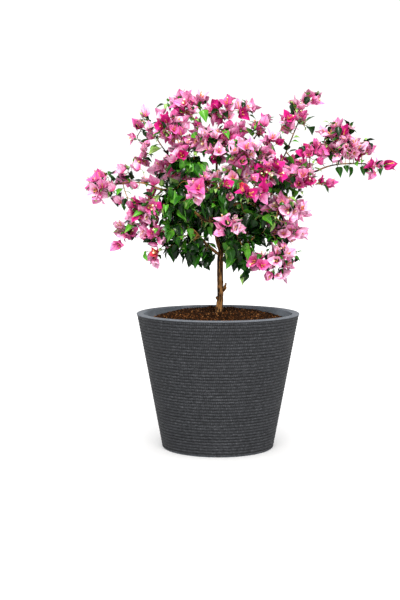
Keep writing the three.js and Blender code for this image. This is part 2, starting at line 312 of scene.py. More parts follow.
def planter_plastic():
    """Granite-grey plastic: painted shade down in the grooves and between the raised dashes, a lighter grey
    where it is smooth as painted light for the lit rim, and painted light on the inner wall.
    """
    material, graph, shader, place = new_material("speckled_planter_plastic", 0.7, 0.12)
    x, y, z = graph.parts(place)
    around = graph.math("ARCTAN2", y, x)
    row = graph.math("FLOOR", graph.math("DIVIDE", z, RIBS["pitch"]))
    turn = graph.math("ADD", graph.math("MULTIPLY", around, BEADS / 2), graph.math("MULTIPLY", row, 2.3))
    bead = graph.spread(graph.math("ABSOLUTE", graph.math("SINE", turn)), 0.0, 0.45)
    fleck = graph.noise(place, 420, 3, 0.7)
    cloud = graph.noise(place, 24, 2)
    dash = graph.noise(graph.vector("MULTIPLY", place, (1, 1, 2.4)), 130, 2, 0.6)
    shade = graph.math("ADD", graph.math("MULTIPLY", fleck, 0.45), graph.math("MULTIPLY", dash, 0.45))
    shade = graph.math("ADD", shade, graph.math("MULTIPLY", cloud, 0.1))
    # Painted light: a lighter grey on the smooth parts, standing in for the light that falls on the rim.
    smooth = graph.ramp(
        shade,
        (0.36, (0.075, 0.083, 0.095)),
        (0.52, (0.1, 0.11, 0.125)),
        (0.68, (0.135, 0.145, 0.16)),
    )
    ribbed = graph.ramp(
        shade,
        (0.34, (0.0125, 0.0132, 0.0148)),
        (0.5, (0.027, 0.0285, 0.032)),
        (0.7, (0.08, 0.083, 0.091)),
    )
    # Painted shade: the near-black grey laid down in the rib grooves and between the raised dashes.
    deep = graph.ramp(shade, (0.34, (0.005, 0.005, 0.0055)), (0.7, (0.016, 0.0163, 0.017)))
    ribs = graph.add("ShaderNodeAttribute", attribute_name="rib_wall").outputs["Fac"]
    groove = graph.add("ShaderNodeAttribute", attribute_name="rib_groove").outputs["Fac"]
    inner = graph.add("ShaderNodeAttribute", attribute_name="inner_wall").outputs["Fac"]
    # Painted light: the inner wall gets a lighter, bluish grey to lift the shade it stands in.
    inside = graph.ramp(shade, (0.36, (0.15, 0.172, 0.2)), (0.68, (0.23, 0.255, 0.29)))
    # Painted shade in the gaps between the raised dashes of each rib.
    ribbed = graph.blend(bead, deep, ribbed)
    # Painted shade down in each rib groove.
    wall = graph.blend(graph.spread(groove, 0.15, 0.8), ribbed, deep)
    smooth = graph.blend(inner, smooth, inside)
    graph.feed(shader.inputs["Base Color"], graph.blend(ribs, smooth, wall))
    graph.feed(shader.inputs["Roughness"], graph.spread(cloud, 0.3, 0.7, 0.62, 0.78))
    grain = graph.math("ADD", graph.noise(place, 900, 2), graph.math("MULTIPLY", fleck, 0.8))
    grain = graph.math("ADD", grain, graph.math("MULTIPLY", graph.math("MULTIPLY", bead, ribs), 1.2))
    add_bump(graph, shader, grain, 0.35 * MM, 0.7)
    return material


def moist_soil(name, dark, middle, light):
    material, graph, shader, place = new_material(name, 0.9, 0.06)
    crumb = graph.noise(place, 190, 4, 0.65)
    fibre = graph.noise(graph.vector("MULTIPLY", place, (1, 0.25, 1)), 700, 2)
    mixed = graph.math("ADD", graph.math("MULTIPLY", crumb, 0.7), graph.math("MULTIPLY", fibre, 0.3))
    graph.feed(
        shader.inputs["Base Color"],
        graph.ramp(mixed, (0.36, dark), (0.53, middle), (0.72, light)),
    )
    add_bump(graph, shader, mixed, 1.5 * MM, 0.8)
    return material


def strip_bark(name, groove, bark, ridge, contrast=1.0):
    """Bark in long strips, drawn on the coordinates that follow each limb."""
    material, graph, shader, place = new_material(name, 0.8, 0.2)
    along = graph.add("ShaderNodeAttribute", attribute_name="bark_run").outputs["Vector"]
    strip = graph.noise(along, 2.6, 4, 0.6)
    fine = graph.noise(graph.vector("MULTIPLY", along, (1, 1, 0.6)), 8, 3, 0.6)
    patch = graph.noise(place, 45, 2)
    mixed = graph.math("ADD", graph.math("MULTIPLY", strip, 0.5), graph.math("MULTIPLY", fine, 0.2))
    mixed = graph.math("ADD", mixed, graph.math("MULTIPLY", patch, 0.3))
    half = 0.12 / contrast
    graph.feed(
        shader.inputs["Base Color"],
        graph.ramp(mixed, (0.5 - half, groove), (0.5, bark), (0.5 + half, ridge)),
    )
    add_bump(graph, shader, mixed, 1.4 * MM, 0.9)
    return material


def blade_material(name, colours, roughness, specular, ribs, lean, vein_width=0.24):
    """A blade with a midrib and side veins, drawn on the blade's own map.

    colours are those of its body, its edge, its veins and its throat, next to the stalk. ribs is how
    many side veins a blade has, and lean is how far they sweep towards its tip."""
    tint, edge, vein, throat = colours
    material, graph, shader, _ = new_material(name, roughness, specular)
    across, along, _ = graph.parts(graph.add("ShaderNodeUVMap", uv_map=LEAF_MAP).outputs[0])
    side = graph.math("ABSOLUTE", graph.math("SUBTRACT", across, 0.5))
    swept = graph.math("SUBTRACT", along, graph.math("MULTIPLY", side, lean))
    ripple = graph.math("ABSOLUTE", graph.math("SINE", graph.math("MULTIPLY", swept, ribs * math.pi)))
    side_vein = graph.spread(ripple, 0.0, vein_width, 0.6, 0.0)
    midrib = graph.spread(side, 0.012, 0.045, 1.0, 0.0)
    veins = graph.math("MAXIMUM", side_vein, midrib)
    toned = graph.blend(graph.spread(side, 0.05, 0.42), tint, edge)
    toned = graph.blend(veins, toned, vein)
    near_base = graph.spread(along, 0.08, 0.5, 0.9, 0.0)
    graph.feed(shader.inputs["Base Color"], graph.blend(near_base, toned, throat))
    add_bump(graph, shader, veins, 0.25 * MM, 0.6)
    return material


def plain_tissue(name, dark, light, roughness=0.5):
    material, graph, shader, place = new_material(name, roughness, 0.3)
    mottle = graph.noise(place, 260, 3)
    graph.feed(shader.inputs["Base Color"], graph.ramp(mottle, (0.35, dark), (0.65, light)))
    add_bump(graph, shader, mottle, 0.2 * MM, 0.4)
    return material


# ---------------------------------------------------------------- planter

WALL = {"underside": 6 * MM, "lip": 3.2 * MM, "rim": 18 * MM, "roll": 46 * MM, "skin": 5 * MM}
RIBS = {"pitch": 7.3 * MM, "depth": 2.1 * MM, "low": 2 * MM, "high_gap": 1.8 * MM, "row": 1.04 * MM}
PLANTER_SIDES = 168
BEADS = 230  # raised dashes in each rib, all the way round
NOTCH = {"width": 16 * MM, "height": 4 * MM, "inner": 62 * MM}


def line(start, end, step):
    count = max(1, round(math.dist(start, end) / step))
    return [Vector(start).lerp(Vector(end), i / count) for i in range(count)]


def bend(middle, radius, start_deg, end_deg, count=6):
    angles = [math.radians(start_deg + (end_deg - start_deg) * i / count) for i in range(count + 1)]
    return [Vector((middle[0] + radius * math.cos(a), middle[1] + radius * math.sin(a))) for a in angles]


def planter_section(rim, foot, height):
    """The planter's section as points of (radius, height), from the underside's middle to the inside's."""
    low, lip = WALL["underside"], WALL["lip"]
    inner = rim - WALL["rim"]
    wall_top = (rim - 1.6 * MM, height - 1.3 * lip)
    wall_foot = (foot, low)
    inside_roll = inner - 4 * MM
    thin_low = foot - WALL["skin"]
    thin_high = rim - 2 * WALL["skin"] - 4 * MM
    return [
        *line((0, 0), (foot - low, 0), 20 * MM),
        *bend((foot - low, low), low, -90, -12),
        *line(wall_foot, wall_top, RIBS["row"]),
        *bend((rim - lip, height - lip), lip, -15, 90, 8),
        *line((rim - lip, height), (inner + 3 * MM, height), 4 * MM),
        *bend((inner + 3 * MM, height - 3 * MM), 3 * MM, 90, 180, 5),
        *line((inner, height - 4 * MM), (inside_roll, height - WALL["roll"]), 4 * MM),
        *line((inside_roll, height - WALL["roll"]), (thin_high, height - WALL["roll"] - 14 * MM), 8 * MM),
        *line((thin_high, height - WALL["roll"] - 14 * MM), (thin_low, low), 60 * MM),
        *line((thin_low, low), (0, low), 40 * MM),
        Vector((0, low)),
    ]


def turning_tree():
    """Turns a section about the planter's axis, then presses ribs and a fine grain into its wall."""
    names = ("Reach", "Rib Low", "Rib High", "Rib Pitch", "Rib Depth", "Grain")
    inputs = {"Sides": "Int", **{name: "Float" for name in names}, "Material": "Material"}
    graph, given, end = growth_tree("turned_planter", inputs)
    section = graph.add("GeometryNodeMeshToCurve", {"Mesh": given["Geometry"]})
    ring = graph.add(
        "GeometryNodeCurvePrimitiveCircle",
        {"Resolution": given["Sides"], "Radius": given["Reach"]},
    )
    shell = graph.add("GeometryNodeCurveToMesh", {"Curve": ring.outputs[0], "Profile Curve": section})
    shell = graph.add("GeometryNodeMergeByDistance", {"Geometry": shell, "Distance": 0.02 * MM})
    shell = graph.add("GeometryNodeFlipFaces", {"Mesh": shell})
    place = graph.add("GeometryNodeInputPosition")
    x, y, z = graph.parts(place)
    outward = graph.vector("NORMALIZE", graph.joined(x, y, 0.0))
    turn = graph.math("DIVIDE", graph.math("MULTIPLY", z, math.pi), given["Rib Pitch"])
    crest = graph.math("POWER", graph.math("ABSOLUTE", graph.math("SINE", turn)), 0.55)
    groove = graph.math("SUBTRACT", crest, 1.0)
    stretched = graph.vector("MULTIPLY", place, (1, 1, 2.2))
    grain = graph.math("SUBTRACT", graph.noise(stretched, 120, 3, 0.6), 0.5)
    press = graph.math("ADD", graph.math("MULTIPLY", groove, given["Rib Depth"]),
                       graph.math("MULTIPLY", grain, given["Grain"]))
    faces_out = graph.vector("DOT_PRODUCT", graph.add("GeometryNodeInputNormal"), outward).outputs["Value"]
    on_wall = graph.math("GREATER_THAN", faces_out, 0.5)
    above = graph.spread(z, given["Rib Low"], graph.math("ADD", given["Rib Low"], 2 * MM))
    below = graph.spread(z, graph.math("SUBTRACT", given["Rib High"], 2 * MM), given["Rib High"], 1.0, 0.0)
    share = graph.math("MULTIPLY", on_wall, graph.math("MULTIPLY", above, below))
    offset = graph.scaled(outward, graph.math("MULTIPLY", press, share))
    # How far down a groove each point lies: the mask for the painted shade in the grooves.
    groove_shade = graph.math("MULTIPLY", graph.math("MULTIPLY", groove, -1.0), share)
    # Where the wall faces inwards: the mask for the painted light on the inner wall.
    inside = graph.spread(faces_out, -0.9, -0.4, 1.0, 0.0)
    for name, value in (("rib_wall", share), ("rib_groove", groove_shade), ("inner_wall", inside)):
        kept = {"Geometry": shell, "Name": name, "Value": value}
        shell = graph.add("GeometryNodeStoreNamedAttribute", kept, domain="POINT", data_type="FLOAT")
    ribbed = graph.add("GeometryNodeSetPosition", {"Geometry": shell, "Offset": offset})
    return finish_growth(graph, end, ribbed, given["Material"])


TURNING_REACH = 0.3  # radius of the circle that the section is carried round
WALL_GRAIN = 0.9 * MM


def notch_cutter(foot):
    """Four blocks that cut the drainage grooves, one of them at the front."""
    cutter = bmesh.new()
    length = foot + 10 * MM - NOTCH["inner"]
    for i in range(4):
        shape = Matrix.Diagonal((NOTCH["width"], length, NOTCH["height"] * 2, 1))
        away = Matrix.Translation((0, NOTCH["inner"] + length / 2, 0))
        bmesh.ops.create_cube(cutter, size=1, matrix=Matrix.Rotation(i * math.pi / 2, 4, "Z") @ away @ shape)
    mesh = bpy.data.meshes.new("grooves")
    cutter.to_mesh(mesh)
    cutter.free()
    return object_from(mesh, "grooves")


def make_planter(material):
    rim, _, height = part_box("pot")[1]
    pot = frame["nodes"]["pot"].data
    foot = max(math.hypot(v.co.x, v.co.y) for v in pot.vertices if v.co.z < 4 * MM)
    section = planter_section(rim, foot, height)
    edges = [(i, i + 1) for i in range(len(section) - 1)]
    mesh = mesh_from("section", [(p.x - TURNING_REACH, -p.y, 0) for p in section], edges=edges)
    values = {
        "Sides": PLANTER_SIDES, "Reach": TURNING_REACH,
        "Rib Low": RIBS["low"], "Rib High": height - RIBS["high_gap"],
        "Rib Pitch": RIBS["pitch"], "Rib Depth": RIBS["depth"], "Grain": WALL_GRAIN, "Material": material,
    }
    turned = object_from(grown(mesh, turning_tree(), values), "turned")
    cutter = notch_cutter(foot)
    cut = turned.modifiers.new("grooves", "BOOLEAN")
    cut.object = cutter
    cut.solver = "EXACT"
    seen = turned.evaluated_get(bpy.context.evaluated_depsgraph_get())
    finished = bpy.data.meshes.new_from_object(seen)
    for thing in (turned, cutter):
        bpy.data.objects.remove(thing)
    return place_piece(finished, "planter", "pot_plastic", "pot")


# ---------------------------------------------------------------- potting mix

SOIL_SIDES = 150
SOIL_RINGS = 64
SOIL_BELOW_RIM = 22 * MM


def soil_solid():
    """The mix as a closed solid: a fine net over its heaped top, and a plain wall and underside."""
    cad = frame["nodes"]["potting_mix"].data
    tree = BVHTree.FromObject(frame["nodes"]["potting_mix"], bpy.context.evaluated_depsgraph_get())
    levels = {}
    for vertex in cad.vertices:
        key = round(vertex.co.z, 4)
        levels[key] = max(levels.get(key, 0), math.hypot(vertex.co.x, vertex.co.y))
    wall = sorted((z, r) for z, r in levels.items() if r > 0.12)
    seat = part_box("pot")[1].z - SOIL_BELOW_RIM
    wall = [(z, r) for z, r in wall if z <= seat]
    edge = wall[-1][1]
    places = [(0, 0, wall[0][0])]
    rings = [(r, z) for z, r in wall[:-1]]
    top = [edge * (1 - i / SOIL_RINGS) for i in range(SOIL_RINGS)]
    faces = []
    for number, (r, z) in enumerate(rings + [(r, None) for r in top]):
        for j in range(SOIL_SIDES):
            turn = 2 * math.pi * (j + 0.5 * (number % 2)) / SOIL_SIDES
            x, y = r * math.cos(turn), r * math.sin(turn)
            if z is None:
                hit = tree.ray_cast(Vector((x * 0.985, y * 0.985, 1)), Vector((0, 0, -1)))[0]
                places.append((x, y, hit.z))
            else:
                places.append((x, y, z))
    count = len(rings) + len(top)
    for j in range(SOIL_SIDES):
        after = (j + 1) % SOIL_SIDES
        faces.append((0, 1 + after, 1 + j))
        for i in range(count - 1):
            a, b = 1 + i * SOIL_SIDES, 1 + (i + 1) * SOIL_SIDES
            faces.append((a + j, a + after, b + after, b + j))
        last = 1 + (count - 1) * SOIL_SIDES
        faces.append((last + j, last + after, len(places)))
    crown = tree.ray_cast(Vector((0, 0, 1)), Vector((0, 0, -1)))[0]
    places.append(tuple(crown))
    return mesh_from("mix", places, faces)


def soil_relief_tree():
    inputs = {"Lump": "Float", "Crumb": "Float", "Material": "Material"}
    graph, given, end = growth_tree("soil_relief", inputs)
    place = graph.add("GeometryNodeInputPosition")
    lumps = graph.math("SUBTRACT", graph.noise(place, 34, 3), 0.5)
    crumbs = graph.math("SUBTRACT", graph.noise(place, 170, 3, 0.6), 0.5)
    rise = graph.math("ADD", graph.math("MULTIPLY", lumps, given["Lump"]),
                      graph.math("MULTIPLY", crumbs, given["Crumb"]))
    upward = graph.vector("DOT_PRODUCT", graph.add("GeometryNodeInputNormal"), (0, 0, 1)).outputs["Value"]
    share = graph.spread(upward, 0.5, 0.8)
    offset = graph.joined(0.0, 0.0, graph.math("MULTIPLY", rise, share))
    moved = graph.add("GeometryNodeSetPosition", {"Geometry": given["Geometry"], "Offset": offset})
    return finish_growth(graph, end, moved, given["Material"])


def crumb_tree():
    """Crumbs lying about on every face that looks up."""
    inputs = {
        "Density": "Float", "Seed": "Int", "Smallest": "Float", "Largest": "Float",
        "Shapes": "Collection", "Material": "Material",
    }
    graph, given, end = growth_tree("scattered_crumbs", inputs)
    upward = graph.vector("DOT_PRODUCT", graph.add("GeometryNodeInputNormal"), (0, 0, 1)).outputs["Value"]
    feeds = {
        "Mesh": given["Geometry"], "Selection": graph.math("GREATER_THAN", upward, 0.5),
        "Density": given["Density"], "Seed": given["Seed"],
    }
    points = graph.add("GeometryNodeDistributePointsOnFaces", feeds)
    shapes = graph.add(
        "GeometryNodeCollectionInfo",
        {"Collection": given["Shapes"], "Separate Children": True, "Reset Children": True},
    )
    spin = graph.add("FunctionNodeRandomValue", data_type="FLOAT_VECTOR")
    graph.feed(spin.inputs["Max"], (math.tau, math.tau, math.tau))
    graph.feed(spin.inputs["Seed"], given["Seed"])
    size = graph.add("FunctionNodeRandomValue", data_type="FLOAT")
    for socket in size.inputs:
        if socket.enabled and socket.name in ("Min", "Max"):
            graph.feed(socket, given["Smallest" if socket.name == "Min" else "Largest"])
    graph.feed(size.inputs["Seed"], given["Seed"])
    scatter = graph.add(
        "GeometryNodeInstanceOnPoints",
        {"Points": points.outputs["Points"], "Instance": shapes, "Pick Instance": True,
         "Rotation": spin, "Scale": size},
    )
    return finish_growth(graph, end, scatter, given["Material"])


def crumb_shapes(name, rng, stretch, count=5):
    meshes = []
    for i in range(count):
        ball = bmesh.new()
        bmesh.ops.create_icosphere(ball, subdivisions=1, radius=1)
        for vertex in ball.verts:
            lump = rng.uniform(0.62, 1.15)
            vertex.co = Vector([vertex.co[k] * stretch[k] for k in range(3)]) * lump
        mesh = bpy.data.meshes.new(f"{name}_{i}")
        ball.to_mesh(mesh)
        ball.free()
        meshes.append(mesh)
    return cupboard(name, meshes)


def make_soil():
    dark = moist_soil("dark_peat", (0.004, 0.0013, 0.0004), (0.014, 0.005, 0.0013), (0.05, 0.019, 0.005))
    red = moist_soil("red_peat", (0.02, 0.006, 0.001), (0.068, 0.022, 0.005), (0.2, 0.076, 0.021))
    straw = moist_soil("bark_chips", (0.09, 0.033, 0.008), (0.26, 0.115, 0.035), (0.52, 0.28, 0.11))
    values = {"Lump": 15 * MM, "Crumb": 7 * MM, "Material": dark}
    bed = grown(soil_solid(), soil_relief_tree(), values)
    scatter = crumb_tree()
    rng = random.Random(4)
    kinds = [
        ("soil_crumbs", dark, 40000, 1.5, 4.4, (1, 0.85, 0.8)),
        ("soil_red_crumbs", red, 24000, 1.2, 3.6, (1, 0.8, 0.7)),
        ("soil_bark_chips", straw, 9000, 0.9, 2.3, (1.7, 0.7, 0.4)),
    ]
    for seed, (name, material, density, small, large, stretch) in enumerate(kinds):
        shapes = crumb_shapes(name, rng, stretch)
        values = {
            "Density": density, "Seed": seed + 3, "Smallest": small * MM, "Largest": large * MM,
            "Shapes": shapes, "Material": material,
        }
        crumbs = grown(bed.copy(), scatter, values)
        crumbs.shade_flat()
        place_piece(crumbs, name, "potting_mix", "potting_mix")
        clear_cupboard(shapes)
    return place_piece(bed, "soil_bed", "potting_mix", "potting_mix")


# ---------------------------------------------------------------- skeleton of the plant

TWIG_STEP = 8 * MM
TWIG_REACHED = 11 * MM
TWIG_SIGHT = 34 * MM
TWIG_TIP = 0.62 * MM
PIPE_POWER = 2.2
BARE_SHARE = 0.3  # no twig sprouts from a bough's first part


class Skeleton:
    """Nodes of trunk, boughs and twigs, each hanging on the node before it."""

    def __init__(self):
        self.places, self.parents, self.given, self.sprouts = [], [], [], []

    def add(self, place, parent, thick=None, sprouts=True):
        self.places.append(Vector(place))
        self.parents.append(parent)
        self.given.append(thick)
        self.sprouts.append(sprouts)
        return len(self.places) - 1

    def children(self):
        below = [[] for _ in self.places]
        for i, parent in enumerate(self.parents):
            if parent is not None:
                below[parent].append(i)
        return below

    def nearest(self, sprouting=False):
        chosen = [i for i in range(len(self.places)) if self.sprouts[i] or not sprouting]
        tree = KDTree(len(chosen))
        for i in chosen:
            tree.insert(self.places[i], i)
        tree.balance()
        return tree


def surface_points(mesh, spacing):
    mesh.calc_loop_triangles()
    points = []
    for triangle in mesh.loop_triangles:
        a, b, c = (mesh.vertices[i].co for i in triangle.vertices)
        count = max(1, math.ceil(max((a - b).length, (b - c).length, (c - a).length) / spacing))
        for i in range(count + 1):
            for j in range(count + 1 - i):
                points.append(a + (b - a) * (i / count) + (c - a) * (j / count))
    return points


def centre_line(points, start, heading, step):
    """The middle and half thickness of each slice across a limb."""
    slices = {}
    for point in points:
        slices.setdefault(math.floor((point - start).dot(heading) / step), []).append(point)
    rows = []
    for key in sorted(slices):
        ring = slices[key]
        middle = sum(ring, Vector()) / len(ring)
        reach = sorted(((p - middle) - heading * (p - middle).dot(heading)).length for p in ring)
        rows.append((middle, reach[int(len(reach) * 0.6)]))
    return rows


def limb_line(name):
    mesh = frame["nodes"][name].data
    corners = [v.co for v in mesh.vertices]
    first = max(corners, key=lambda p: (p - corners[0]).length)
    last = max(corners, key=lambda p: (p - first).length)
    heading = (last - first).normalized()
    rows = centre_line(surface_points(mesh, 2 * MM), first, heading, 10 * MM)
    return [(p.copy(), r) for p, r in rows]


def trunk_lines():
    """The trunk's own line, and that of the stub on its side."""
    points = surface_points(frame["nodes"]["trunk"].data, 1.6 * MM)
    low = min(p.z for p in points)
    high = max(p.z for p in points)
    step = 8 * MM
    slices = {}
    for point in points:
        slices.setdefault(int((point.z - low) / step), []).append(point)
    rows, stub = [], []
    for key in sorted(slices):
        ring = slices[key]
        xs, ys = sorted(p.x for p in ring), sorted(p.y for p in ring)
        middle_y = (ys[0] + ys[-1]) / 2
        depth = (ys[-1] - ys[0]) / 2
        middle = Vector((xs[0] + depth, middle_y, low + (key + 0.5) * step))
        rows.append((middle, depth))
        stub += [p for p in ring if p.x - middle.x > depth * 1.25]
    rows = [(Vector((p.x, p.y, min(p.z, high))), r) for p, r in rows]
    return rows, stub, low


def smooth_line(line, rounds=2):
    for _ in range(rounds):
        inner = [
            ((a[0] + b[0] * 2 + c[0]) / 4, (a[1] + b[1] * 2 + c[1]) / 4)
            for a, b, c in zip(line, line[1:], line[2:])
        ]
        line = [line[0], *inner, line[-1]]
    return line


def trunk_and_limbs():
    """The skeleton of what the frame's own limbs show."""
    skeleton = Skeleton()
    rows, stub, low = trunk_lines()
    foot, base = rows[0]
    parent = skeleton.add((foot.x, foot.y, low - 14 * MM), None, base * 1.1, False)
    for middle, thick in rows:
        parent = skeleton.add(middle, parent, thick, False)
    if stub:
        heading = Vector((0.55, -0.05, 0.85)).normalized()
        start = min(stub, key=lambda p: p.z)
        line = centre_line(stub, start, heading, 5 * MM)
        _, root, _ = skeleton.nearest().find(line[0][0] - UP * 9 * MM)
        for swell, (middle, thick) in zip((4.6, 3.4, 2.4, 1.8, 1.4, 1.2, 1.1), line):
            root = skeleton.add(middle, root, max(thick * 0.8, swell * MM), False)
    knob = 5
    root = skeleton.add(skeleton.places[knob] + Vector((-5.5, -2, 1)) * MM, knob, 4.2 * MM, False)
    skeleton.add(skeleton.places[root] + Vector((-3.4, -1, 4)) * MM, root, 2.6 * MM, False)
    waiting = {name: smooth_line(limb_line(name)) for name in LIMBS}
    while waiting:
        seeker = skeleton.nearest()
        ends = [(seeker.find(waiting[n][k][0])[2], n, k) for n in sorted(waiting) for k in (0, -1)]
        _, name, end = min(ends)
        line = waiting.pop(name)
        if end == -1:
            line = line[::-1]
        _, root, gap = seeker.find(line[0][0])
        for _ in range(round(gap * 0.5 / (8 * MM))):
            above = skeleton.parents[root]
            if above is None or skeleton.given[above] is None:
                break
            root = above
        start = skeleton.places[root]
        count = max(1, round((line[0][0] - start).length / (10 * MM)))
        lead = (line[1][0] - line[0][0]).normalized() * (line[0][0] - start).length * 0.3
        for i in range(1, count):
            share = i / count
            point = start.lerp(line[0][0], share) - lead * math.sin(share * math.pi) * 0.5
            root = skeleton.add(point, root, line[0][1] * 1.05, share > BARE_SHARE)
        for i, (middle, thick) in enumerate(line):
            root = skeleton.add(middle, root, thick, i > len(line) * BARE_SHARE)
    return skeleton


def grow_twigs(skeleton, targets, rng):
    """Grows twigs a step at a time towards the targets in sight. When none is, the nearest one draws."""
    remaining = [Vector(t) for t in targets]
    heading = {}
    for _ in range(1500):
        seeker = skeleton.nearest(sprouting=True)
        found = [(target, *seeker.find(target)) for target in remaining]
        found = [row for row in found if row[3] >= TWIG_REACHED]
        remaining = [row[0] for row in found]
        if not remaining:
            break
        drawn = [row for row in found if row[3] < TWIG_SIGHT] or [min(found, key=lambda row: row[3])]
        pulls = {}
        for target, place, i, _ in drawn:
            pulls[i] = pulls.get(i, Vector()) + (target - place).normalized()
        taken = {i: [] for i in pulls}
        for i, parent in enumerate(skeleton.parents):
            if parent in taken:
                taken[parent].append(skeleton.places[i])
        added = 0
        for i in sorted(pulls):
            pull = pulls[i].normalized() if pulls[i].length > 1e-6 else UP
            wobble = Vector((rng.gauss(0, 1), rng.gauss(0, 1), rng.gauss(0, 1))) * 0.14
            way = (pull + heading.get(i, Vector()) * 0.55 + UP * 0.1 + wobble).normalized()
            place = skeleton.places[i] + way * TWIG_STEP
            if any((place - other).length < TWIG_STEP * 0.5 for other in taken[i]):
                continue
            new = skeleton.add(place, i)
            heading[new] = way
            added += 1
        if not added:
            for target, place, i, _ in drawn:
                skeleton.add(place.lerp(target, 0.6), i)
    return skeleton


def relax(skeleton, rounds=3):
    """Eases the kinks out of the grown twigs."""
    below = skeleton.children()
    for _ in range(rounds):
        eased = []
        for i, place in enumerate(skeleton.places):
            parent = skeleton.parents[i]
            if skeleton.given[i] is not None or parent is None or not below[i]:
                eased.append(place)
                continue
            ahead = sum((skeleton.places[c] for c in below[i]), Vector()) / len(below[i])
            eased.append(place * 0.5 + (skeleton.places[parent] + ahead) * 0.25)
        skeleton.places = eased


def thicknesses(skeleton):
    """Every limb is as thick as all that it carries asks for, and no thicker than what carries it."""
    below = skeleton.children()
    carried = [0.0] * len(skeleton.places)
    for i in reversed(range(len(skeleton.places))):
        tip = TWIG_TIP ** PIPE_POWER
        carried[i] = max(tip, sum(carried[c] for c in below[i]) + tip * 0.05)
    thick = []
    for i, load in enumerate(carried):
        own = skeleton.given[i] or min(load ** (1 / PIPE_POWER), 2.6 * MM)
        parent = skeleton.parents[i]
        if parent is not None and skeleton.given[i] is None:
            own = min(own, thick[parent] * 0.97)
        thick.append(max(own, TWIG_TIP * 0.8))
    return thick


def chains_of(skeleton, thick):
    """Runs of nodes from fork to tip, each as (places, thicknesses)."""
    below = skeleton.children()
    chains, starts = [], [(None, 0)]
    while starts:
        root, i = starts.pop()
        nodes = [] if root is None else [root]
        while i is not None:
            nodes.append(i)
            nexts = sorted(below[i], key=lambda c: (skeleton.given[c] is not None, thick[c]), reverse=True)
            starts += [(i, c) for c in nexts[1:]]
            i = nexts[0] if nexts else None
        places = [skeleton.places[n] for n in nodes]
        sizes = [thick[n] for n in nodes]
        if root is not None:
            sizes[0] = min(sizes[0], sizes[1] * 1.25)
        if len(places) > 1:
            chains.append((places, sizes))
    return chains


def tube_tree():
    """Tubes along every run of edges, with bark relief that follows the limb."""
    inputs = {"Sides": "Int", "Rows": "Int", "Relief": "Float", "Swelling": "Float", "Material": "Material"}
    graph, given, end = growth_tree("limb_tubes", inputs)
    curve = graph.add("GeometryNodeMeshToCurve", {"Mesh": given["Geometry"]})
    curve = graph.add("GeometryNodeCurveSplineType", {"Curve": curve}, spline_type="CATMULL_ROM")
    curve = graph.add("GeometryNodeSetSplineResolution", {"Geometry": curve, "Resolution": given["Rows"]})
    run = graph.add("GeometryNodeSplineParameter").outputs["Length"]
    curve = graph.add("GeometryNodeStoreNamedAttribute", {"Geometry": curve, "Name": "run", "Value": run},
                      domain="POINT", data_type="FLOAT")
    ring = graph.add("GeometryNodeCurvePrimitiveCircle", {"Resolution": given["Sides"], "Radius": 1.0})
    ring = graph.add(
        "GeometryNodeStoreNamedAttribute",
        {"Geometry": ring.outputs[0], "Name": "around", "Value": graph.add("GeometryNodeInputPosition")},
        domain="POINT", data_type="FLOAT_VECTOR",
    )
    tube = graph.add(
        "GeometryNodeCurveToMesh",
        {"Curve": curve, "Profile Curve": ring, "Scale": attribute(graph, "thick"), "Fill Caps": True},
    )
    around = graph.parts(attribute(graph, "around", "FLOAT_VECTOR"))
    thick = graph.math("MULTIPLY", attribute(graph, "thick"), 100.0)
    seed = attribute(graph, "seed")
    x = graph.math("ADD", graph.math("MULTIPLY", around[0], thick), seed)
    y = graph.math("MULTIPLY", around[1], thick)
    z = graph.math("MULTIPLY", attribute(graph, "run"), 14.0)
    strip = graph.joined(x, y, z)
    tube = graph.add(
        "GeometryNodeStoreNamedAttribute", {"Geometry": tube, "Name": "bark_run", "Value": strip},
        domain="POINT", data_type="FLOAT_VECTOR",
    )
    relief = graph.math("SUBTRACT", graph.noise(strip, 2.6, 4, 0.6), 0.5)
    swell = graph.math("SUBTRACT", graph.noise(graph.vector("ADD", strip, (0, 0, 5)), 0.9, 2), 0.5)
    push = graph.math("ADD", graph.math("MULTIPLY", relief, given["Relief"]),
                      graph.math("MULTIPLY", swell, given["Swelling"]))
    push = graph.math("MULTIPLY", push, attribute(graph, "thick"))
    offset = graph.scaled(graph.add("GeometryNodeInputNormal"), push)
    tube = graph.add("GeometryNodeSetPosition", {"Geometry": tube, "Offset": offset})
    return finish_growth(graph, end, tube, given["Material"])


def tubes(chains, tree, sides, rows, relief, swelling, material):
    places, edges, thick, seed = [], [], [], []
    for number, (line_places, sizes) in enumerate(chains):
        first = len(places)
        places += line_places
        thick += sizes
        seed += [number * 3.7 % 50] * len(sizes)
        edges += [(first + i, first + i + 1) for i in range(len(sizes) - 1)]
    mesh = mesh_from("lines", places, edges=edges)
    give(mesh, "thick", "FLOAT", thick)
    give(mesh, "seed", "FLOAT", seed)
    values = {"Sides": sides, "Rows": rows, "Relief": relief, "Swelling": swelling, "Material": material}
    return grown(mesh, tree, values)


# ---------------------------------------------------------------- blades, flowers and their places

LEAF_LENGTH = 34 * MM
BRACT_LENGTH = 30.5 * MM
BLOOM_SPACING = 19 * MM
LEAF_SPACING = 14.3 * MM
BETWEEN_SPACING = 19 * MM
BETWEEN_REACH = 30 * MM  # how near three masses must be for a place between them to be filled
LIMB_SHOWS = 10 * MM  # how wide a strip in front of each lower bough stays free of leaves
CROWN_DEPTH = 110 * MM  # how far a place may be from the masses in front of it and behind it


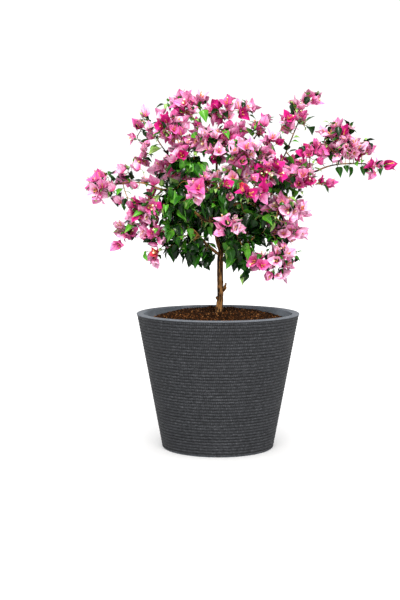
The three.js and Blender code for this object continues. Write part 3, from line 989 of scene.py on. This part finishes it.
def blade(name, width, base, tip, arch, cup, wave, twist, rows=7, columns=4):
    """A blade one unit long, from its base at the origin towards +Y, facing +Z."""
    peak = (base / (base + tip)) ** base * (tip / (base + tip)) ** tip
    places, flat, faces = [], [], []
    y = z = 0.0
    for i in range(rows + 1):
        s = i / rows
        half = width / 2 * s ** base * (1 - s) ** tip / peak
        if i:
            lean = arch * (s - 0.5 / rows) ** 1.2
            y += math.cos(lean) / rows
            z -= math.sin(lean) / rows
        turn = twist * s
        for j in range(columns + 1) if 0 < i < rows else [columns / 2]:
            u = j / columns * 2 - 1
            lift = cup * half * abs(u) ** 1.3 + wave * math.sin(s * 9 + u * 2) * abs(u) * half
            x = half * u
            across = x * math.cos(turn) - lift * math.sin(turn)
            places.append((across, y, z + x * math.sin(turn) + lift * math.cos(turn)))
            flat.append((0.5 + half * u, s))
    ring = [0] + [1 + (i - 1) * (columns + 1) for i in range(1, rows)]
    last = len(places) - 1
    for j in range(columns):
        faces.append((0, ring[1] + j + 1, ring[1] + j))
        for i in range(1, rows - 1):
            a, b = ring[i] + j, ring[i + 1] + j
            faces.append((a, a + 1, b + 1, b))
        faces.append((last, ring[rows - 1] + j, ring[rows - 1] + j + 1))
    return mesh_from(name, places, faces, flat_map=flat)


def tube_flower(name, length, flare, sides=5):
    """A slender tube, a little swollen at its foot and at its mouth, along +Y."""
    rows = [(0.0, 0.35), (0.14, 0.55), (0.45, 0.42), (0.85, 0.5), (1.0, flare)]
    places, faces = [], []
    for along, half in rows:
        for j in range(sides):
            turn = 2 * math.pi * j / sides
            places.append((half * 0.14 * math.cos(turn), along * length, half * 0.14 * math.sin(turn)))
    for i in range(len(rows) - 1):
        for j in range(sides):
            a, b = i * sides + j, i * sides + (j + 1) % sides
            faces.append((a, a + sides, b + sides, b))
    faces.append(tuple(range(sides)))
    faces.append(tuple(reversed(range((len(rows) - 1) * sides, len(rows) * sides))))
    return mesh_from(name, places, faces)


def star_flower(name, points=5, outer=0.17, lift=0.05):
    """The small open mouth of a tube flower: a shallow star about +Y."""
    places = [(0, 0, 0)]
    for j in range(points * 2):
        turn = math.pi * j / points
        reach = outer if j % 2 == 0 else outer * 0.42
        rise = lift if j % 2 == 0 else lift * 0.7
        places.append((reach * math.cos(turn), rise, reach * math.sin(turn)))
    faces = [(0, 1 + (j + 1) % (points * 2), 1 + j) for j in range(points * 2)]
    return mesh_from(name, places, faces)


def random_way(rng):
    return Vector((rng.gauss(0, 1), rng.gauss(0, 1), rng.gauss(0, 1))).normalized()


def frame_of(forward, facing):
    """The turn that takes +Y to forward and +Z as near as can be to facing."""
    y = forward.normalized()
    z = (facing - y * facing.dot(y)).normalized()
    x = y.cross(z)
    return Matrix((x, y, z)).transposed().to_quaternion()


class Mass:
    """One mass of the frame: where its inside is, and points spaced out in it."""

    def __init__(self, name):
        thing = frame["nodes"][name]
        self.name = name
        self.tree = BVHTree.FromObject(thing, bpy.context.evaluated_depsgraph_get())
        corners = [v.co for v in thing.data.vertices]
        self.low = Vector([min(c[k] for c in corners) for k in range(3)])
        self.high = Vector([max(c[k] for c in corners) for k in range(3)])
        self.middle = sum(corners, Vector()) / len(corners)

    def gap_to_box(self, place):
        return max(max(self.low[k] - place[k], place[k] - self.high[k], 0) for k in range(3))

    def depth(self, place):
        """How far inside a place is, or below nought outside."""
        hit, normal, _, gap = self.tree.find_nearest(place)
        return gap if (place - hit).dot(normal) < 0 else -gap

    def outward(self, place):
        return self.tree.find_nearest(place)[1].normalized()

    def spaced_points(self, spacing, margin, rng, tries=1600):
        size = self.high - self.low
        margin = min(margin, min(size) * 0.24)
        points = []
        if self.depth(self.middle) > margin * 0.5:
            points.append(self.middle.copy())
        for _ in range(tries):
            place = self.low + Vector([size[k] * rng.random() for k in range(3)])
            if self.depth(place) < margin:
                continue
            if all((place - other).length > spacing for other in points):
                points.append(place)
        return points


class Spread:
    """A growing list of places, turns and sizes for one kind of shape."""

    def __init__(self):
        self.places, self.turns, self.sizes, self.kinds = [], [], [], []

    def add(self, place, turn, size, kind):
        self.places.append(Vector(place))
        self.turns.append(tuple(turn))
        self.sizes.append(tuple(size) if hasattr(size, "__len__") else (size, size, size))
        self.kinds.append(kind)

    def mesh(self, shapes, material):
        points = mesh_from("places", self.places)
        give(points, "turn", "QUATERNION", self.turns)
        give(points, "size", "FLOAT_VECTOR", self.sizes)
        give(points, "kind", "INT", self.kinds)
        return grown(points, SCATTER, {"Shapes": shapes, "Material": material})


def scatter_tree():
    """Puts a shape at every point, turned, sized and picked as the point says."""
    graph, given, end = growth_tree("set_out_shapes", {"Shapes": "Collection", "Material": "Material"})
    shapes = graph.add(
        "GeometryNodeCollectionInfo",
        {"Collection": given["Shapes"], "Separate Children": True, "Reset Children": True},
    )
    feeds = {
        "Points": given["Geometry"], "Instance": shapes, "Pick Instance": True,
        "Instance Index": attribute(graph, "kind", "INT"),
        "Rotation": attribute(graph, "turn", "QUATERNION"),
        "Scale": attribute(graph, "size", "FLOAT_VECTOR"),
    }
    return finish_growth(graph, end, graph.add("GeometryNodeInstanceOnPoints", feeds), given["Material"])


SCATTER = scatter_tree()

# ---------------------------------------------------------------- the crown

TINTS = ("pale", "pink", "rose", "deep", "coral")
TINT_SHARES = {
    "pale": (0.62, 0.29, 0.06, 0.03, 0),
    "pink": (0.38, 0.38, 0.17, 0.07, 0),
    "rose": (0.2, 0.31, 0.3, 0.18, 0.01),
    "deep": (0.1, 0.2, 0.31, 0.33, 0.06),
}
SPRAYS = {
    "deep": ("centre_right", "front_centre", "front_right", "back_middle"),
    "rose": ("spray_inner", "shoot_low", "shoot_side", "top_middle", "left_middle", "inner_left",
             "front_left", "left_lower_inner", "spray_tip", "back_right"),
    "pale": ("centre", "shoot_tip", "left_tip", "left_high", "right_shelf", "right_lower",
             "right_foot", "lower_centre", "back_left"),
}
SPRAY_TINT = {"bloom_" + spray: tint for tint, sprays in SPRAYS.items() for spray in sprays}


def hidden_between(place, masses):
    """Whether a place has masses both in front of it and behind it, within the crown's depth."""
    ahead = behind = False
    for mass in masses:
        if not (mass.low.x < place.x < mass.high.x and mass.low.z < place.z < mass.high.z):
            continue
        ahead = ahead or mass.tree.ray_cast(place, Vector((0, -1, 0)), CROWN_DEPTH)[0] is not None
        behind = behind or mass.tree.ray_cast(place, Vector((0, 1, 0)), CROWN_DEPTH)[0] is not None
        if ahead and behind:
            return True
    return False


def places_between(rng, tries=16000):
    """Places outside every mass, shut in by several of them, each with its nearest mass."""
    masses = [Mass(name) for name in BLOOM_MASSES + LEAF_MASSES]
    low = Vector([min(m.low[k] for m in masses) for k in range(3)])
    high = Vector([max(m.high[k] for m in masses) for k in range(3)])
    low.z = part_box("trunk")[1].z + 25 * MM
    found = []
    for _ in range(tries):
        place = Vector([rng.uniform(low[k], high[k]) for k in range(3)])
        if any((place - other).length < BETWEEN_SPACING for other, _ in found):
            continue
        close = [m for m in masses if m.gap_to_box(place) < CROWN_DEPTH / 2]
        gaps = sorted((-m.depth(place), i) for i, m in enumerate(close))
        if len(gaps) < 3 or gaps[0][0] < 3 * MM:
            continue
        if gaps[2][0] < BETWEEN_REACH or hidden_between(place, close):
            found.append((place, close[gaps[0][1]]))
    return found


def round_the_fork(rng, count=46):
    """Places for the leaves that hang about the top of the trunk."""
    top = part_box("trunk")[1].z
    ring = [v.co for v in frame["nodes"]["trunk"].data.vertices if v.co.z > top - 2 * MM]
    fork = sum(ring, Vector()) / len(ring)
    places = []
    while len(places) < count:
        offset = Vector((rng.uniform(-52, 52), rng.uniform(-46, 46), rng.uniform(-16, 62))) * MM
        if math.hypot(offset.x, offset.y) > 16 * MM:
            places.append((fork + offset, Vector((offset.x, offset.y, 0)).normalized()))
    return places


def plan_crown(rng):
    """Where every bloom and leaf of the masses stands: (middle, way it points, facing, size, mass)."""
    blooms, leaves = [], []
    crown = sum((Vector(frame["nodes"][n].data.vertices[0].co) for n in LEAF_MASSES), Vector())
    crown /= len(LEAF_MASSES)
    for name in BLOOM_MASSES:
        mass = Mass(name)
        for place in mass.spaced_points(BLOOM_SPACING, 7 * MM, rng):
            away = (place - mass.middle) * 22 + mass.outward(place) * 0.5
            away += (place - crown).normalized() * 0.4
            axis = (away + UP * 0.45 + random_way(rng) * 0.45).normalized()
            blooms.append((place, axis, rng.uniform(0.78, 1.16), mass.name))
        for place in mass.spaced_points(24 * MM, 5 * MM, rng):
            leaves.append((place + random_way(rng) * 7 * MM, mass, rng.uniform(0.5, 0.95)))
    for name in LEAF_MASSES:
        mass = Mass(name)
        for place in mass.spaced_points(LEAF_SPACING, 4 * MM, rng):
            leaves.append((place, mass, rng.uniform(0.66, 1.34)))
    for place, mass in places_between(rng):
        axis = ((place - crown).normalized() + UP * 0.3 + random_way(rng) * 0.5).normalized()
        if mass.name in BLOOM_MASSES and rng.random() < 0.5:
            blooms.append((place, axis, rng.uniform(0.74, 1.05), mass.name))
        else:
            leaves.append((place, mass, rng.uniform(0.6, 1.05)))
    hung = []
    for place, mass, size in leaves:
        away = (mass.outward(place) * 0.7 + (place - crown).normalized() * 0.6).normalized()
        way = (away * 0.6 - UP * rng.uniform(0.05, 1.0) + random_way(rng) * 0.8).normalized()
        facing = (UP * 0.75 + away * 0.7 + random_way(rng) * 0.4).normalized()
        hung.append((place, way, facing, size, mass.name))
    for place, away in round_the_fork(rng):
        way = (away * 0.6 - UP * rng.uniform(0.5, 1.3) + random_way(rng) * 0.4).normalized()
        facing = (UP * 0.6 + away + random_way(rng) * 0.4).normalized()
        hung.append((place, way, facing, rng.uniform(0.7, 1.2), "mass"))
    return blooms, hung


def clear_of_limbs(skeleton, leaves):
    """The leaves that leave the lower boughs in sight from the front."""
    limbs = [p for p, own in zip(skeleton.places, skeleton.given) if own and 3 * MM < own]
    low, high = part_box("bough_low_left")
    limbs = [p for p in limbs if low.x < p.x < high.x and low.z < p.z < high.z]
    kept = []
    for leaf in leaves:
        place = leaf[0]
        near = any(
            abs(place.x - p.x) < LIMB_SHOWS and abs(place.z - p.z) < LIMB_SHOWS and place.y < p.y
            for p in limbs
        )
        if not near:
            kept.append(leaf)
    return kept


def leaves_along(skeleton, thick, rng):
    """Leaves that stand singly along twigs and stems, and the small young ones at their tips."""
    below = skeleton.children()
    leaves = []
    for i, place in enumerate(skeleton.places):
        parent = skeleton.parents[i]
        if parent is None or not skeleton.sprouts[i] or thick[i] > 2.9 * MM:
            continue
        along = (place - skeleton.places[parent]).normalized()
        tip = not below[i]
        for _ in range(2 if tip else 1):
            if rng.random() > (0.8 if tip else 0.3 if skeleton.given[i] is None else 0.75):
                continue
            side = along.cross(random_way(rng)).normalized()
            largest = 0.85 if skeleton.given[i] is None else 1.15
            size = rng.uniform(0.3, 0.5) if tip else rng.uniform(0.45, largest)
            way = (side + along * (0.9 if tip else 0.35) - UP * rng.uniform(-0.1, 0.5)).normalized()
            facing = (UP + side * 0.3 + random_way(rng) * 0.4).normalized()
            middle = place + side * 6 * MM * size + way * LEAF_LENGTH * 0.5 * size
            leaves.append((middle, way, facing, size, "tip" if tip else "twig"))
    return leaves


def stalk(seeker, thick, base, way, share=0.4):
    """A fine stalk from the nearest twig that runs into base along way."""
    place, i, gap = seeker.find(base)
    lead = base - way * gap * share
    middle = place.lerp(lead, 0.55)
    size = min(thick[i], 0.75 * MM)
    return [place, middle, lead, base], [size, size * 0.9, size * 0.85, size * 0.8]


CROWN_SEED = 20


def make_crown():
    rng = random.Random(CROWN_SEED)
    skeleton = trunk_and_limbs()
    blooms, leaves = plan_crown(rng)
    leaves = clear_of_limbs(skeleton, leaves)
    bloom_bases = [p - a * 10 * MM * s for p, a, s, _ in blooms]
    leaf_bases = [p - w * LEAF_LENGTH * 0.45 * s for p, w, _, s, _ in leaves]
    grow_twigs(skeleton, [b - a * 6 * MM for b, (_, a, _, _) in zip(bloom_bases, blooms)]
               + [b - w * 5 * MM for b, (_, w, _, _, _) in zip(leaf_bases, leaves)], rng)
    relax(skeleton)
    thick = thicknesses(skeleton)
    leaves += leaves_along(skeleton, thick, rng)
    leaf_bases = [p - w * LEAF_LENGTH * 0.45 * s for p, w, _, s, _ in leaves]
    seeker = skeleton.nearest(sprouting=True)
    stalks = [stalk(seeker, thick, b, w) for b, (_, w, _, _, _) in zip(leaf_bases, leaves)]
    stalks += [stalk(seeker, thick, b, a) for b, (_, a, _, _) in zip(bloom_bases, blooms)]

    chains = chains_of(skeleton, thick)
    trunk = [chains[0]]
    boughs = [c for c in chains[1:] if max(c[1][1:]) > 1.7 * MM]
    twigs = [c for c in chains[1:] if max(c[1][1:]) <= 1.7 * MM]
    tree = tube_tree()
    bark = strip_bark("flaking_bark", (0.003, 0.001, 0.0003), (0.05, 0.019, 0.004), (0.38, 0.18, 0.055), 1.6)
    cane = strip_bark("young_cane_bark", (0.07, 0.03, 0.007), (0.32, 0.14, 0.038), (0.62, 0.34, 0.11))
    green = plain_tissue("green_stalk", (0.06, 0.12, 0.02), (0.16, 0.24, 0.06))
    tan = strip_bark("bough_bark", (0.2, 0.075, 0.016), (0.68, 0.31, 0.09), (0.95, 0.6, 0.24), 1.2)
    wood = [tubes(trunk, tree, 56, 9, 0.6, 0.45, bark), tubes(boughs, tree, 14, 4, 0.5, 0.3, tan)]
    place_piece(joined_mesh("trunk_and_boughs", wood), "trunk_and_boughs", "bark", "trunk", *LIMBS)
    place_piece(tubes(twigs, tree, 6, 2, 0.3, 0.2, cane), "twigs", "bark")
    place_piece(tubes(stalks, tree, 5, 1, 0.1, 0.1, green), "green_stalks", "leaf")
    set_out_blooms(rng, blooms, bloom_bases)
    set_out_leaves(rng, leaves, leaf_bases)


def set_out_blooms(rng, blooms, bases):
    """Each bloom is three papery bracts about three slender tube flowers."""
    shapes = [
        blade("bract", rng.uniform(0.66, 0.86), rng.uniform(0.42, 0.52), rng.uniform(0.8, 1.15),
              rng.uniform(-0.5, 0.9), rng.uniform(0.15, 0.45), rng.uniform(0.1, 0.3), rng.uniform(-0.3, 0.3))
        for _ in range(7)
    ]
    shelf = cupboard("bracts", shapes)
    tube_shelf = cupboard("tubes", [tube_flower("tube", 1.0, 0.7), tube_flower("bud", 0.82, 0.3)])
    star_shelf = cupboard("stars", [star_flower("star"), star_flower("half_open", outer=0.12, lift=0.09)])
    bracts = {tint: Spread() for tint in TINTS}
    flowers, stars = Spread(), Spread()
    for (place, axis, size, name), base in zip(blooms, bases):
        shares = TINT_SHARES[SPRAY_TINT.get(name, "pink")]
        tint = rng.choices(TINTS, shares)[0]
        side = axis.orthogonal().normalized()
        across = axis.cross(side)
        spin = rng.uniform(0, math.tau)
        open_by = rng.uniform(16, 50)
        for k in range(3):
            turn = spin + k * math.tau / 3 + rng.uniform(-0.2, 0.2)
            radial = side * math.cos(turn) + across * math.sin(turn)
            lean = math.radians(open_by + rng.uniform(-8, 8))
            way = axis * math.cos(lean) + radial * math.sin(lean)
            facing = axis * math.sin(lean) - radial * math.cos(lean)
            length = BRACT_LENGTH * size * rng.uniform(0.88, 1.08)
            bracts[tint].add(base, frame_of(way, facing), length, rng.randrange(len(shapes)))
            tilt = math.radians(rng.uniform(10, 24))
            rise = axis * math.cos(tilt) + radial * math.sin(tilt)
            opened = rng.random() < 0.22
            tube_length = BRACT_LENGTH * size * rng.uniform(0.55, 0.78)
            flowers.add(base, frame_of(rise, facing), tube_length, 0 if opened else 1)
            if opened:
                stars.add(base + rise * tube_length, frame_of(rise, facing), tube_length * 1.1,
                          rng.randrange(2))
    # The last colour of each tint is its throat: the bract's own deeper tint at its base, and painted shade
    # at the heart of the bloom.
    colours = {
        "pale": ((0.82, 0.43, 0.61), (0.85, 0.56, 0.7), (0.74, 0.2, 0.43), (0.6, 0.05, 0.26)),
        "pink": ((0.74, 0.26, 0.47), (0.79, 0.38, 0.58), (0.65, 0.09, 0.32), (0.54, 0.02, 0.2)),
        "rose": ((0.65, 0.11, 0.33), (0.71, 0.2, 0.42), (0.56, 0.035, 0.23), (0.46, 0.008, 0.15)),
        "deep": ((0.53, 0.012, 0.18), (0.58, 0.035, 0.24), (0.44, 0.006, 0.13), (0.35, 0.003, 0.09)),
        "coral": ((0.56, 0.04, 0.07), (0.63, 0.08, 0.12), (0.45, 0.02, 0.04), (0.36, 0.01, 0.03)),
    }
    for tint in TINTS:
        material = blade_material(f"bract_{tint}", colours[tint], 0.65, 0.1, 5, 0.9, 0.34)
        place_piece(bracts[tint].mesh(shelf, material), f"bracts_{tint}", "bloom", *BLOOM_MASSES)
    tube = plain_tissue("flower_tube", (0.42, 0.09, 0.05), (0.72, 0.45, 0.14))
    star = plain_tissue("cream_star", (0.86, 0.76, 0.4), (0.93, 0.88, 0.62))
    place_piece(flowers.mesh(tube_shelf, tube), "flower_tubes", "bloom")
    place_piece(stars.mesh(star_shelf, star), "flower_stars", "bloom")
    for used in (shelf, tube_shelf, star_shelf):
        clear_cupboard(used)


LEAF_SHARES = {
    "mass": (0.56, 0.28, 0.14, 0.02),
    "twig": (0.34, 0.34, 0.2, 0.12),
    "tip": (0.05, 0.2, 0.35, 0.4),
}


def set_out_leaves(rng, leaves, bases):
    """Ovate leaves with drawn-out tips, folded a little along the midrib and hanging outwards."""
    shapes = [
        blade("leaf", rng.uniform(0.54, 0.68), rng.uniform(0.42, 0.52), rng.uniform(1.0, 1.35),
              rng.uniform(0.2, 1.2), rng.uniform(0.2, 0.6), rng.uniform(0.05, 0.2), rng.uniform(-0.4, 0.4))
        for _ in range(7)
    ]
    shelf = cupboard("leaves", shapes)
    kinds = {name: Spread() for name in ("dark", "mid", "light", "young")}
    for (place, way, facing, size, name), base in zip(leaves, bases):
        shares = LEAF_SHARES.get(name, LEAF_SHARES["mass"])
        kind = rng.choices(list(kinds), shares)[0]
        kinds[kind].add(base, frame_of(way, facing), LEAF_LENGTH * size, rng.randrange(len(shapes)))
    colours = {
        "dark": (
            (0.001, 0.011, 0.0005), (0.001, 0.013, 0.0005), (0.006, 0.035, 0.002), (0.003, 0.024, 0.001),
        ),
        "mid": ((0.009, 0.07, 0.002), (0.01, 0.078, 0.003), (0.034, 0.15, 0.012), (0.018, 0.1, 0.005)),
        "light": ((0.05, 0.24, 0.012), (0.055, 0.25, 0.014), (0.16, 0.38, 0.06), (0.09, 0.29, 0.02)),
        "young": ((0.2, 0.38, 0.08), (0.24, 0.41, 0.1), (0.4, 0.52, 0.2), (0.24, 0.4, 0.09)),
    }
    for kind, spread in kinds.items():
        material = blade_material(f"leaf_{kind}", colours[kind], 0.26, 0.2, 6, 1.1)
        place_piece(spread.mesh(shelf, material), f"leaves_{kind}", "leaf", *LEAF_MASSES)
    clear_cupboard(shelf)


# ---------------------------------------------------------------- floor


def lay_floor():
    floor = mesh_from("floor", [(-30, -30, 0), (30, -30, 0), (30, 30, 0), (-30, 30, 0)], [(0, 1, 2, 3)])
    material, graph, shader, _ = new_material("pale_studio_floor", 0.9, 0.1)
    graph.feed(shader.inputs["Base Color"], (0.97, 0.97, 0.97, 1))
    floor.materials.append(material)
    piece = object_from(floor, "studio_floor")
    return piece


# ---------------------------------------------------------------- run

stand_camera()
light_studio(lay_floor())
make_planter(planter_plastic())
make_soil()
make_crown()
